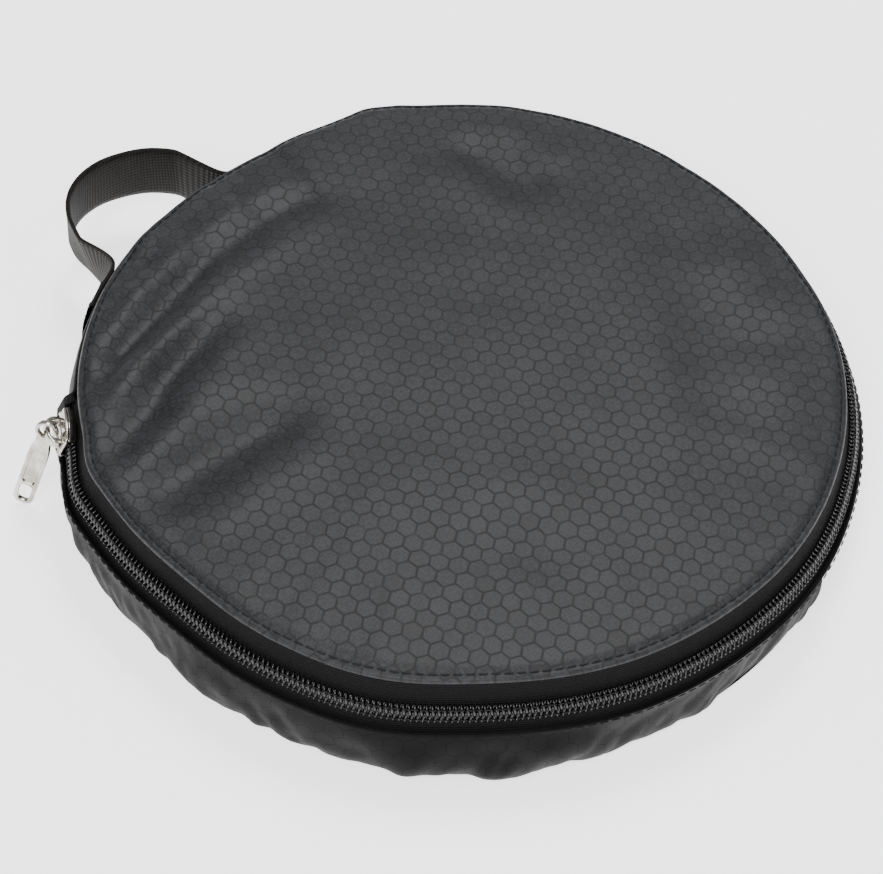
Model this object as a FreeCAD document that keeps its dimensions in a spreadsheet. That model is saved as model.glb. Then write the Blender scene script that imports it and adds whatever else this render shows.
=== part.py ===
import FreeCAD, Part
import math
import os

import Sketcher

# A round soft case, shut by a coil zip in its side wall, with a collapsed reflector hoop inside.
# Millimetres. +Z up, the case stands on z = 0 and its round axis is Z.
# The zip opens at the front (-Y); the hinge panel and the carrying loop are at the back (+Y).
# Angles are counted anticlockwise from +X, seen from above.

doc = FreeCAD.newDocument("RoundReflectorCase")

driving = {
    # zip line: a cone whose generator leans in towards the lid
    "zip_radius": 113.0,
    "zip_height": 27.0,
    "zip_lean": 25.0,
    "zip_first": 128.2,
    "zip_last": 411.8,
    "tape_thick": 0.7,
    "tape_inner_edge": 0.8,
    "tape_upper_edge": 9.6,
    "tape_lower_edge": 7.4,
    "coil_gap": 0.35,
    "coil_width": 2.75,
    "coil_thick": 2.0,
    "coil_chamfer": 0.6,
    "coil_lift": 0.05,
    "end_tab_sweep": 1.3,
    "end_tab_half": 5.0,
    "end_tab_lift": 0.1,
    "end_tab_thick": 0.7,
    # lid flap
    "flap_line": 70.0,
    "flap_gap": 0.4,
    "trim_reach": 144.0,
    "flap_first": 141.75,
    "flap_last": 398.25,
    "tail_gap": 2.0,
    "lid_crown": 40.5,
    "lid_shoulder_radius": 105.5,
    "lid_shoulder_height": 38.0,
    "lid_edge_radius": 110.9,
    "lid_edge_height": 34.84,
    "lid_thick": 1.0,
    "lid_edge_round": 4.0,
    "lining_thick": 0.6,
    "lining_gap": 0.3,
    "lid_lining_radius": 104.5,
    "lid_binding_radius": 104.8,
    "lid_binding_width": 3.0,
    "lid_binding_low": 33.6,
    "lid_binding_tall": 1.6,
    # bottom and wall
    "base_radius": 111.3,
    "base_thick": 1.0,
    "base_lining_radius": 108.2,
    "base_binding_width": 2.6,
    "base_binding_tall": 3.0,
    "wall_foot": 111.6,
    "wall_thick": 1.0,
    "bulge_radius": 120.0,
    "bulge_height": 9.0,
    "foot_round": 9.0,
    "gusset_round": 30.0,
    "gusset_top": 22.4,
    "hinge_round": 40.0,
    "hinge_top": 34.2,
    "hinge_sweep": 75.6,
    "wall_lining_top": 19.6,
    "wall_lining_gap": 0.3,
    # slider
    "slider_rest": 133.5,
    "slider_half": 4.9,
    "slider_sweep": 6.1,
    "slider_inner_gap": 0.4,
    "slider_inner_thick": 1.45,
    "slider_outer_gap": 0.35,
    "slider_outer_thick": 1.15,
    "flange_width": 0.9,
    "flange_gap": 0.4,
    "bridge_thick": 0.4,
    "crown_half": 5.0,
    "crown_window": 3.2,
    "crown_rise": 3.1,
    "crown_top": 1.2,
    "crown_width": 2.4,
    "crown_sink": 0.15,
    "crown_corner": 1.6,
    # puller
    "puller_long": 30.5,
    "puller_ring": 3.4,
    "puller_eye": 2.3,
    "puller_neck_wide": 4.4,
    "puller_wide": 6.0,
    "puller_thick": 1.6,
    "puller_neck": 5.6,
    "puller_shoulder": 8.5,
    "puller_recess_wide": 3.2,
    "puller_recess_first": 9.6,
    "puller_recess_last": 21.6,
    "puller_recess_deep": 0.4,
    "puller_slot_first": 23.2,
    "puller_slot_last": 29.0,
    "puller_lean": 18.0,
    "puller_twist": 25.0,
    "puller_slot_wide": 3.0,
    # carrying loop
    "loop_wide": 20.0,
    "loop_thick": 1.6,
    "loop_height": 23.0,
    "loop_bow": 20.5,
    "loop_bow_centre": 120.5,
    "loop_leg_lean": 38.3,
    "loop_leg": 22.4,
    "loop_root_half": 1.6,
    "loop_trim_over": 2.0,
    "loop_trim_behind": 3.0,
    "sewn_end_thick": 1.3,
    "sewn_end_gap": 0.15,
    "sewn_end_low": 13.5,
    "sewn_end_high": 32.0,
    "sewn_end_sweep": 5.6,
    "sewn_end_turn": 17.9,
    # collapsed reflector
    "hoop_radius": 96.0,
    "hoop_height": 17.0,
    "hoop_across": 4.0,
    "hoop_rise": 9.6,
    "hoop_turns": 3,
    "band_thick": 0.8,
    "band_wide": 3.2,
    "sleeve_radius": 3.0,
    "sleeve_wall": 0.6,
    "join_half": 2.2,
    "join_thick": 0.6,
    "join_gap": 0.05,
    "band_end_gap": 0.05,
    "hoop_step": 9.0,
    "fabric_radius": 87.5,
    "fabric_low": 4.6,
    "fabric_high": 29.4,
    "fabric_round": 9.0,
}

sheet = doc.addObject("Spreadsheet::Sheet", "Dims")
for row, (alias, number) in enumerate(driving.items(), start=1):
    sheet.set("A%d" % row, alias)
    sheet.set("B%d" % row, str(number))
    sheet.setAlias("B%d" % row, alias)
doc.recompute()


class Size:
    """A length or number kept both as sheet text and as its value."""

    def __init__(self, text, value):
        self.text = text
        self.value = value

    @staticmethod
    def of(item):
        return item if isinstance(item, Size) else Size(repr(float(item)), float(item))

    def join(self, other, sign, value):
        return Size("(%s %s %s)" % (self.text, sign, other.text), value)

    def __add__(self, other):
        other = Size.of(other)
        return self.join(other, "+", self.value + other.value)

    def __radd__(self, other):
        return Size.of(other) + self

    def __sub__(self, other):
        other = Size.of(other)
        return self.join(other, "-", self.value - other.value)

    def __rsub__(self, other):
        return Size.of(other) - self

    def __mul__(self, other):
        other = Size.of(other)
        return self.join(other, "*", self.value * other.value)

    def __rmul__(self, other):
        return Size.of(other) * self

    def __truediv__(self, other):
        other = Size.of(other)
        return self.join(other, "/", self.value / other.value)

    def __neg__(self):
        return 0 - self


def dim(alias):
    return Size("Dims.%s" % alias, float(sheet.get(alias)))


def sine(angle):
    return Size("sin(%s * 1 deg)" % angle.text, math.sin(math.radians(angle.value)))


def cosine(angle):
    return Size("cos(%s * 1 deg)" % angle.text, math.cos(math.radians(angle.value)))


def root(number):
    return Size("sqrt(%s)" % number.text, math.sqrt(number.value))


ZERO = Size.of(0)
smallest_cut = 1e-3


def on_zip(along, out):
    """Radius and height of a point in the zip's leaning section: along the tape and out from it."""
    lean = dim("zip_lean")
    return (
        dim("zip_radius") - along * sine(lean) + out * cosine(lean),
        dim("zip_height") + along * cosine(lean) + out * sine(lean),
    )


# ---------------------------------------------------------------- sketch and feature helpers

def new_body(label):
    body = doc.addObject("PartDesign::Body", label)
    body.Label = label
    return body


def plane_of(body, role):
    return next(item for item in body.Origin.OriginFeatures if item.Role == role)


def new_sketch(body, role, name):
    sketch = body.newObject("Sketcher::SketchObject", name)
    sketch.AttachmentSupport = [(plane_of(body, role), "")]
    sketch.MapMode = "FlatFace"
    return sketch


def pin(sketch, edge, end, point):
    """Ties one end of an edge to a place given in the sheet's sizes."""
    for kind, size in (("DistanceX", point[0]), ("DistanceY", point[1])):
        index = sketch.addConstraint(Sketcher.Constraint(kind, -1, 1, edge, end, size.value))
        sketch.setExpression("Constraints[%d]" % index, size.text)


def arc_between(first, last, radius, bulge):
    """The short arc from first to last; it bulges to the right of the way there when bulge is 1."""
    start = FreeCAD.Vector(first[0].value, first[1].value, 0)
    finish = FreeCAD.Vector(last[0].value, last[1].value, 0)
    middle = (start + finish) * 0.5
    way = finish - start
    reach = way.Length / 2
    right = FreeCAD.Vector(way.y, -way.x, 0).normalize() * bulge
    rise = radius.value - math.sqrt(radius.value ** 2 - reach ** 2)
    return Part.Arc(start, middle + right * rise, finish)


def outline(sketch, points, arcs=None):
    """One closed outline through points; arcs maps an edge's number to its (radius, bulge)."""
    arcs = arcs or {}
    points = [(Size.of(x), Size.of(y)) for x, y in points]
    count = len(points)
    ends = []
    for index in range(count):
        first, last = points[index], points[(index + 1) % count]
        if index in arcs:
            radius, bulge = arcs[index]
            curve = arc_between(first, last, radius, bulge)
            edge = sketch.addGeometry(curve, False)
            counterclockwise = bulge > 0
            begin, finish = (1, 2) if counterclockwise else (2, 1)
            index_radius = sketch.addConstraint(Sketcher.Constraint("Radius", edge, radius.value))
            sketch.setExpression("Constraints[%d]" % index_radius, radius.text)
        else:
            curve = Part.LineSegment(
                FreeCAD.Vector(first[0].value, first[1].value, 0),
                FreeCAD.Vector(last[0].value, last[1].value, 0),
            )
            edge = sketch.addGeometry(curve, False)
            begin, finish = 1, 2
        ends.append((edge, begin, finish))
    for index, (edge, begin, finish) in enumerate(ends):
        following, its_begin, _ = ends[(index + 1) % count]
        sketch.addConstraint(Sketcher.Constraint("Coincident", edge, finish, following, its_begin))
        pin(sketch, edge, begin, points[index])
    return sketch


def turned(label, points, arcs=None, first=None, last=None):
    """A ring, or a stretch of one between two angles, turned about Z from a section in r and z."""
    body = new_body(label)
    sketch = new_sketch(body, "XZ_Plane", label + "_section")
    outline(sketch, points, arcs)
    feature = body.newObject("PartDesign::Revolution", label + "_turn")
    feature.Profile = sketch
    feature.ReferenceAxis = (sketch, ["V_Axis"])
    if first is None:
        feature.Angle = 360
    else:
        feature.Midplane = True
        feature.Angle = last.value - first.value
        feature.setExpression("Angle", (last - first).text)
        centre = (first + last) / 2
        body.setExpression("Placement.Rotation.Angle", centre.text)
        body.Placement = FreeCAD.Placement(
            FreeCAD.Vector(), FreeCAD.Rotation(FreeCAD.Vector(0, 0, 1), centre.value)
        )
    return body


def cut(body, role, name, outlines, depth=None, backwards=False):
    """Pockets one or more closed outlines: through the whole body, or to a depth from its plane."""
    doc.recompute()
    before = body.Shape.Volume
    sketch = new_sketch(body, role, name + "_outline")
    for points, arcs in outlines:
        outline(sketch, points, arcs)
    pocket = body.newObject("PartDesign::Pocket", name)
    pocket.Profile = sketch
    if depth is None:
        pocket.Type = "ThroughAll"
        pocket.Midplane = True
    else:
        pocket.Length = depth.value
        pocket.setExpression("Length", depth.text)
        pocket.Reversed = backwards
    doc.recompute()
    if body.Shape.Volume > before - smallest_cut:
        raise RuntimeError("%s cuts nothing" % name)
    return pocket


def padded(body, role, name, outlines, thickness):
    """Pads closed outlines to both sides of one of the body's own planes."""
    sketch = new_sketch(body, role, name + "_outline")
    for points, arcs in outlines:
        outline(sketch, points, arcs)
    pad = body.newObject("PartDesign::Pad", name)
    pad.Profile = sketch
    pad.Midplane = True
    pad.Length = thickness.value
    pad.setExpression("Length", thickness.text)
    return pad


def rectangle(left, right, low, high):
    return [(left, low), (right, low), (right, high), (left, high)]


# ---------------------------------------------------------------- bottom of the case

lining = dim("lining_thick")
base_thick = dim("base_thick")
lining_low = base_thick + dim("lining_gap")

turned("base_panel", rectangle(ZERO, dim("base_radius"), ZERO, base_thick))
turned("base_lining", rectangle(ZERO, dim("base_lining_radius"), lining_low, lining_low + lining))
binding_inner = dim("base_lining_radius") + dim("lining_gap")
turned(
    "base_binding",
    rectangle(
        binding_inner,
        binding_inner + dim("base_binding_width"),
        lining_low,
        lining_low + dim("base_binding_tall"),
    ),
)


# ---------------------------------------------------------------- side wall

def wall_section(inset, thick, upper_round, top):
    """A bulging wall: a foot arc from the bottom out to the bulge, then a long arc up to the top."""
    foot_centre = dim("bulge_radius") - dim("foot_round")
    upper_centre = dim("bulge_radius") - upper_round
    run = dim("wall_foot") - foot_centre
    climb = top - dim("bulge_height")

    def side(depth):
        foot = dim("foot_round") - depth
        upper = upper_round - depth
        return (
            (dim("wall_foot"), dim("bulge_height") - root(foot * foot - run * run)),
            (dim("bulge_radius") - depth, dim("bulge_height")),
            (upper_centre + root(upper * upper - climb * climb), top),
        )

    outer, inner = side(inset), side(inset + thick)
    arcs = {
        0: (dim("foot_round") - inset, 1),
        1: (upper_round - inset, 1),
        3: (upper_round - inset - thick, -1),
        4: (dim("foot_round") - inset - thick, -1),
    }
    return [outer[0], outer[1], outer[2], inner[2], inner[1], inner[0]], arcs


gusset_points, gusset_arcs = wall_section(ZERO, dim("wall_thick"), dim("gusset_round"), dim("gusset_top"))
turned("gusset_band", gusset_points, gusset_arcs, dim("zip_first"), dim("zip_last"))

hinge_points, hinge_arcs = wall_section(ZERO, dim("wall_thick"), dim("hinge_round"), dim("hinge_top"))
half_hinge = dim("hinge_sweep") / 2
turned("hinge_panel", hinge_points, hinge_arcs, 90 - half_hinge, 90 + half_hinge)

wall_points, wall_arcs = wall_section(
    dim("wall_thick") + dim("wall_lining_gap"), lining, dim("gusset_round"), dim("wall_lining_top")
)
turned("wall_lining", wall_points, wall_arcs)


# ---------------------------------------------------------------- lid: front flap and fixed rear part

def crown_round(drop, edge):
    """Radius of the shallow dome that falls by drop from the axis to the edge radius."""
    return (edge * edge + drop * drop) / (2 * drop)


def lid_section():
    fall = dim("lid_crown") - dim("lid_shoulder_height")
    shoulder = dim("lid_shoulder_radius")
    thick = dim("lid_thick")
    dome = crown_round(fall, shoulder)
    lean = dim("zip_lean")
    edge_radius, edge_height = dim("lid_edge_radius"), dim("lid_edge_height")
    points = [
        (ZERO, dim("lid_crown")),
        (ZERO, dim("lid_crown") - thick),
        (shoulder, dim("lid_shoulder_height") - thick),
        (edge_radius - thick * cosine(lean), edge_height - thick * sine(lean)),
        (edge_radius, edge_height),
        (shoulder, dim("lid_shoulder_height")),
    ]
    arcs = {
        1: (dome, -1),
        2: (dim("lid_edge_round") - thick, -1),
        4: (dim("lid_edge_round"), 1),
        5: (dome, 1),
    }
    return points, arcs


def lid_lining_section():
    fall = dim("lid_crown") - dim("lid_shoulder_height")
    top = dim("lid_crown") - dim("lid_thick") - dim("lining_gap")
    edge = dim("lid_lining_radius")
    dome = crown_round(fall, dim("lid_shoulder_radius"))
    drop = dome - root(dome * dome - edge * edge)
    points = [(ZERO, top), (ZERO, top - lining), (edge, top - lining - drop), (edge, top - drop)]
    return points, {1: (dome, -1), 3: (dome, 1)}


def lid_binding_section():
    inner = dim("lid_binding_radius")
    low = dim("lid_binding_low")
    return rectangle(
        inner, inner + dim("lid_binding_width"), low, low + dim("lid_binding_tall")
    ), {}


far = dim("trim_reach")
flap_edge = dim("flap_line") - dim("flap_gap") / 2
rear_edge = dim("flap_line") + dim("flap_gap") / 2
behind_flap = [(rectangle(-far, far, flap_edge, far), {})]
before_rear = [(rectangle(-far, far, -far, rear_edge), {})]

for piece, section in (
    ("panel", lid_section),
    ("lining", lid_lining_section),
    ("binding", lid_binding_section),
):
    piece_points, piece_arcs = section()
    flap = turned("lid_" + piece, piece_points, piece_arcs)
    cut(flap, "XY_Plane", "lid_" + piece + "_rear_cut", behind_flap)
    rear = turned("lid_rear_" + piece, piece_points, piece_arcs)
    cut(rear, "XY_Plane", "lid_rear_" + piece + "_front_cut", before_rear)


# ---------------------------------------------------------------- zip

half_tape = dim("tape_thick") / 2
coil_foot = half_tape + dim("coil_lift")
coil_top = coil_foot + dim("coil_thick")


def tape_section(sign, edge):
    low, high = dim("tape_inner_edge") * sign, edge * sign
    return [
        on_zip(low, -half_tape), on_zip(high, -half_tape), on_zip(high, half_tape), on_zip(low, half_tape),
    ]


def coil_section(sign):
    near = dim("coil_gap") * sign
    wide = (dim("coil_gap") + dim("coil_width")) * sign
    corner = dim("coil_chamfer")
    return [
        on_zip(near, coil_foot),
        on_zip(wide, coil_foot),
        on_zip(wide, coil_top - corner),
        on_zip(wide - corner * sign, coil_top),
        on_zip(near, coil_top),
    ]


lower_tape = tape_section(-1, dim("tape_lower_edge"))
upper_tape = tape_section(1, dim("tape_upper_edge"))
turned("zip_tape_lower", lower_tape, {}, dim("zip_first"), dim("zip_last"))
turned("zip_coil_lower", coil_section(-1), {}, dim("zip_first"), dim("zip_last"))
turned("zip_tape_upper", upper_tape, {}, dim("flap_first"), dim("flap_last"))
turned("zip_coil_upper", coil_section(1), {}, dim("flap_first"), dim("flap_last"))

left_tail = (dim("zip_first"), dim("flap_first") - dim("tail_gap"))
right_tail = (dim("flap_last") + dim("tail_gap"), dim("zip_last"))
for side, (first, last) in (("left", left_tail), ("right", right_tail)):
    turned("zip_tape_rear_" + side, upper_tape, {}, first, last)
    turned("zip_coil_rear_" + side, coil_section(1), {}, first, last)

tab_low = coil_top + dim("end_tab_lift")
tab_section = [
    on_zip(-dim("end_tab_half"), tab_low),
    on_zip(dim("end_tab_half"), tab_low),
    on_zip(dim("end_tab_half"), tab_low + dim("end_tab_thick")),
    on_zip(-dim("end_tab_half"), tab_low + dim("end_tab_thick")),
]
turned("zip_end_tab_left", tab_section, {}, dim("zip_first"), dim("zip_first") + dim("end_tab_sweep"))
turned("zip_end_tab_right", tab_section, {}, dim("zip_last") - dim("end_tab_sweep"), dim("zip_last"))


# ---------------------------------------------------------------- slider and puller

inner_face = half_tape + dim("slider_inner_gap")
outer_low = coil_top + dim("slider_outer_gap")
outer_top = outer_low + dim("slider_outer_thick")
flange_low = half_tape + dim("flange_gap")
half_slider = dim("slider_half")
flange_in = half_slider - dim("flange_width")
half_bridge = dim("bridge_thick") / 2
slider_section = [
    on_zip(-half_slider, outer_top),
    on_zip(-half_slider, flange_low),
    on_zip(-flange_in, flange_low),
    on_zip(-flange_in, outer_low),
    on_zip(-half_bridge, outer_low),
    on_zip(-half_bridge, -inner_face),
    on_zip(-half_slider, -inner_face),
    on_zip(-half_slider, -inner_face - dim("slider_inner_thick")),
    on_zip(half_slider, -inner_face - dim("slider_inner_thick")),
    on_zip(half_slider, -inner_face),
    on_zip(half_bridge, -inner_face),
    on_zip(half_bridge, outer_low),
    on_zip(flange_in, outer_low),
    on_zip(flange_in, flange_low),
    on_zip(half_slider, flange_low),
    on_zip(half_slider, outer_top),
]
half_sweep = dim("slider_sweep") / 2
turned(
    "slider_body", slider_section, {}, dim("slider_rest") - half_sweep, dim("slider_rest") + half_sweep
)

Z_AXIS = FreeCAD.Vector(0, 0, 1)
Y_AXIS = FreeCAD.Vector(0, 1, 0)
# In the slider's own axes X points out of the zip, Y along the travel and Z up the leaning tape.
slider_place = FreeCAD.Placement(
    FreeCAD.Vector(), FreeCAD.Rotation(Z_AXIS, dim("slider_rest").value)
) * FreeCAD.Placement(
    FreeCAD.Vector(dim("zip_radius").value, 0, dim("zip_height").value),
    FreeCAD.Rotation(Y_AXIS, -dim("zip_lean").value),
)

crown = new_body("slider_crown")
crown_foot = outer_top - dim("crown_sink")
crown_roof = outer_top + dim("crown_rise")
crown_peak = crown_roof + dim("crown_top")
corner = dim("crown_corner")
half_crown = dim("crown_half")
window = dim("crown_window")
padded(
    crown,
    "XY_Plane",
    "crown_arch",
    [(
        [
            (crown_foot, -half_crown),
            (crown_peak - corner, -half_crown),
            (crown_peak, -half_crown + corner),
            (crown_peak, half_crown - corner),
            (crown_peak - corner, half_crown),
            (crown_foot, half_crown),
            (crown_foot, window),
            (crown_roof, window),
            (crown_roof, -window),
            (crown_foot, -window),
        ],
        {1: (corner, 1), 3: (corner, 1)},
    )],
    dim("crown_width"),
)
crown.Placement = slider_place

puller = new_body("puller")
ring = dim("puller_ring")
half_tab = dim("puller_wide") / 2
half_neck = dim("puller_neck_wide") / 2
neck, shoulder = dim("puller_neck"), dim("puller_shoulder")
neck_start = root(ring * ring - half_neck * half_neck)
tip_centre = dim("puller_long") - half_tab
padded(
    puller,
    "XZ_Plane",
    "puller_plate",
    [(
        [
            (-ring, ZERO),
            (ZERO, -ring),
            (neck_start, -half_neck),
            (neck, -half_neck),
            (shoulder, -half_tab),
            (tip_centre, -half_tab),
            (dim("puller_long"), ZERO),
            (tip_centre, half_tab),
            (shoulder, half_tab),
            (neck, half_neck),
            (neck_start, half_neck),
            (ZERO, ring),
        ],
        {
            0: (ring, 1), 1: (ring, 1), 5: (half_tab, 1), 6: (half_tab, 1), 10: (ring, 1), 11: (ring, 1),
        },
    )],
    dim("puller_thick"),
)
eye = dim("puller_eye")
eye_points = [(eye, ZERO), (ZERO, eye), (-eye, ZERO), (ZERO, -eye)]
cut(puller, "XZ_Plane", "puller_eye_hole", [(eye_points, {edge: (eye, 1) for edge in range(4)})])
half_slot = dim("puller_slot_wide") / 2
slot_first = dim("puller_slot_first") + half_slot
slot_last = dim("puller_slot_last") - half_slot
slot_points = [
    (slot_first, -half_slot), (slot_last, -half_slot), (slot_last + half_slot, ZERO),
    (slot_last, half_slot), (slot_first, half_slot), (slot_first - half_slot, ZERO),
]
slot_arcs = {edge: (half_slot, 1) for edge in (1, 2, 4, 5)}
cut(puller, "XZ_Plane", "puller_slot", [(slot_points, slot_arcs)])
# the long channel down the middle of the tab, sunk from the face that looks forward
recess = new_sketch(puller, "XZ_Plane", "puller_recess_outline")
half_recess = dim("puller_recess_wide") / 2
outline(
    recess,
    rectangle(dim("puller_recess_first"), dim("puller_recess_last"), -half_recess, half_recess),
)
face_offset = dim("puller_thick") / 2
recess.setExpression("AttachmentOffset.Base.z", (dim("puller_recess_deep") - face_offset).text)
volume_before = puller.Shape.Volume
channel = puller.newObject("PartDesign::Pocket", "puller_recess")
channel.Profile = recess
channel.Length = dim("puller_thick").value
channel.setExpression("Length", dim("puller_thick").text)
doc.recompute()
if puller.Shape.Volume > volume_before - smallest_cut:
    raise RuntimeError("the puller's channel cuts nothing")

# The puller's round eye hangs on the crown's roof. It hangs down, leans out over the wall's
# bulge and is turned a little on its own length.
forward = slider_place.Rotation.multVec(Y_AXIS)
radial = forward.cross(Z_AXIS)
puller_lean = math.radians(dim("puller_lean").value)
puller_twist = math.radians(dim("puller_twist").value)
puller_way = radial * math.sin(puller_lean) - Z_AXIS * math.cos(puller_lean)
outwards = radial * math.cos(puller_lean) + Z_AXIS * math.sin(puller_lean)
puller_across = outwards * math.cos(puller_twist) - forward * math.sin(puller_twist)
eye_out = (crown_roof + dim("crown_top") / 2).value
eye_centre = slider_place.multVec(FreeCAD.Vector(eye_out, 0, 0))
puller.Placement = FreeCAD.Placement(
    eye_centre,
    FreeCAD.Rotation(puller_way, puller_across.cross(puller_way), puller_across, "ZXY"),
)
print("puller eye at", eye_centre, "swings about", puller_way.cross(puller_across))


# ---------------------------------------------------------------- carrying loop

lean = dim("loop_leg_lean")
half_webbing = dim("loop_thick") / 2


def loop_side(offset):
    """Right-hand tangent point and root of the bow's edge, offset from the webbing's middle."""
    bow = dim("loop_bow") + offset
    tangent = (bow * cosine(lean), dim("loop_bow_centre") + bow * sine(lean))
    foot = (tangent[0] + dim("loop_leg") * sine(lean), tangent[1] - dim("loop_leg") * cosine(lean))
    return tangent, foot


def mirrored(point):
    return (-point[0], point[1])


outer_tangent, outer_root = loop_side(half_webbing)
inner_tangent, inner_root = loop_side(-half_webbing)
loop = new_body("carry_loop")
padded(
    loop,
    "XY_Plane",
    "loop_webbing",
    [(
        [
            outer_root, outer_tangent, mirrored(outer_tangent), mirrored(outer_root),
            mirrored(inner_root), mirrored(inner_tangent), inner_tangent, inner_root,
        ],
        {1: (dim("loop_bow") + half_webbing, 1), 5: (dim("loop_bow") - half_webbing, -1)},
    )],
    dim("loop_wide"),
)
# each leg narrows to its swing axis, so that the loop can lift without touching the wall
root_y = dim("loop_bow_centre") + dim("loop_bow") * sine(lean) - dim("loop_leg") * cosine(lean)
half_loop = dim("loop_wide") / 2
above = half_loop + dim("loop_trim_over")
behind = root_y - dim("loop_trim_behind")
root_half = dim("loop_root_half")
taper = [
    [(behind, root_half), (root_y, root_half), (root_y + above - root_half, above), (behind, above)],
    [(behind, -root_half), (behind, -above), (root_y + above - root_half, -above), (root_y, -root_half)],
]
cut(loop, "YZ_Plane", "loop_root_taper", [(points, {}) for points in taper])
loop.Placement = FreeCAD.Placement(
    FreeCAD.Vector(0, 0, dim("loop_height").value), FreeCAD.Rotation()
)
print("loop swing axis at y", root_y.value, "z", dim("loop_height").value)

# the webbing's ends lie flat on the hinge panel, where they are sewn down
wall_centre = dim("bulge_radius") - dim("hinge_round")
end_inner = dim("hinge_round") + dim("sewn_end_gap")
end_outer = end_inner + dim("sewn_end_thick")


def on_wall(radius, height):
    climb = height - dim("bulge_height")
    return (wall_centre + root(radius * radius - climb * climb), height)


end_low, end_high = dim("sewn_end_low"), dim("sewn_end_high")
end_points = [
    on_wall(end_outer, end_low), on_wall(end_outer, end_high),
    on_wall(end_inner, end_high), on_wall(end_inner, end_low),
]
end_arcs = {0: (end_outer, 1), 2: (end_inner, -1)}
half_end = dim("sewn_end_sweep") / 2
for side, middle in (("left", 90 + dim("sewn_end_turn")), ("right", 90 - dim("sewn_end_turn"))):
    turned("loop_end_" + side, end_points, end_arcs, middle - half_end, middle + half_end)


# ---------------------------------------------------------------- collapsed reflector

turns = int(dim("hoop_turns").value)
whole = 360.0 * turns
fewest_steps = 4


def hoop_point(share):
    """The hoop winds three times round before it meets itself, each turn beside the last."""
    angle = 2 * math.pi * turns * share
    phase = angle / turns
    radius = dim("hoop_radius").value + dim("hoop_across").value * math.cos(phase)
    height = dim("hoop_height").value + dim("hoop_rise").value * math.sin(phase)
    return FreeCAD.Vector(radius * math.cos(angle), radius * math.sin(angle), height)


def hoop_path(first, last):
    """The hoop's middle line between two angles, in degrees of its whole winding."""
    steps = max(fewest_steps, int((last - first) / dim("hoop_step").value))
    points = [hoop_point((first + (last - first) * step / steps) / whole) for step in range(steps + 1)]
    curve = Part.BSplineCurve()
    curve.interpolate(points)
    return Part.Wire([curve.toShape()])


def tube(first, last, radius, hole=None):
    path = hoop_path(first, last)
    edge = path.Edges[0]
    start = edge.valueAt(edge.FirstParameter)
    way = edge.tangentAt(edge.FirstParameter)
    solid = path.makePipeShell([Part.Wire([Part.makeCircle(radius, start, way)])], True, False)
    if hole is None:
        return solid
    inner = path.makePipeShell([Part.Wire([Part.makeCircle(hole, start, way)])], True, False)
    return solid.cut(inner)


def feature(label, shape):
    item = doc.addObject("Part::Feature", label)
    item.Label = label
    item.Shape = shape
    item.Placement = FreeCAD.Placement()
    return item


def band(first, last):
    """Flat spring band: its broad side stands upright all the way round."""
    path = hoop_path(first, last)
    edge = path.Edges[0]
    start = edge.valueAt(edge.FirstParameter)
    outwards = FreeCAD.Vector(start.x, start.y, 0).normalize()
    thick, wide = dim("band_thick").value / 2, dim("band_wide").value / 2
    corners = [
        start + outwards * (thick * a) + Z_AXIS * (wide * b)
        for a, b in ((-1, -1), (1, -1), (1, 1), (-1, 1), (-1, -1))
    ]
    sweep = Part.BRepOffsetAPI.MakePipeShell(path)
    sweep.setBiNormalMode(Z_AXIS)
    sweep.add(Part.makePolygon(corners))
    sweep.build()
    sweep.makeSolid()
    return sweep.shape()


sleeve = dim("sleeve_radius").value
sleeve_hole = sleeve - dim("sleeve_wall").value
join_half = dim("join_half").value
band_start = dim("band_end_gap").value
sleeve_start = join_half + dim("join_gap").value
feature("hoop_band", band(band_start, whole - band_start))
feature("hoop_sleeve", tube(sleeve_start, whole - sleeve_start, sleeve, sleeve_hole))
feature("hoop_join", tube(-join_half, join_half, sleeve + dim("join_thick").value, sleeve_hole))

fabric_edge = dim("fabric_radius")
fabric_round = dim("fabric_round")
turned(
    "reflector_fabric",
    [
        (ZERO, dim("fabric_low")),
        (fabric_edge - fabric_round, dim("fabric_low")),
        (fabric_edge, dim("fabric_low") + fabric_round),
        (fabric_edge, dim("fabric_high") - fabric_round),
        (fabric_edge - fabric_round, dim("fabric_high")),
        (ZERO, dim("fabric_high")),
    ],
    {1: (fabric_round, 1), 3: (fabric_round, 1)},
)


# ---------------------------------------------------------------- check and write

doc.recompute()
for item in doc.Objects:
    for state in item.State:
        if state in ("Invalid", "Error"):
            raise RuntimeError("%s is %s" % (item.Name, state))

os.makedirs("parts", exist_ok=True)
pieces = [item for item in doc.Objects if item.TypeId in ("PartDesign::Body", "Part::Feature")]
for piece in pieces:
    shape = piece.Shape
    if shape.isNull() or not shape.isValid() or len(shape.Solids) != 1:
        raise RuntimeError("%s is not one valid solid" % piece.Label)
    box = shape.BoundBox
    print("%-22s %9.1f mm3  x %.1f %.1f  y %.1f %.1f  z %.1f %.1f" % (
        piece.Label, shape.Volume, box.XMin, box.XMax, box.YMin, box.YMax, box.ZMin, box.ZMax,
    ))
    shape.exportStep("parts/%s.step" % piece.Label)
print(len(pieces), "pieces written")
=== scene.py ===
import math

import bpy
import bmesh
from mathutils import Matrix, Vector, noise
from mathutils.bvhtree import BVHTree


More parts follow.
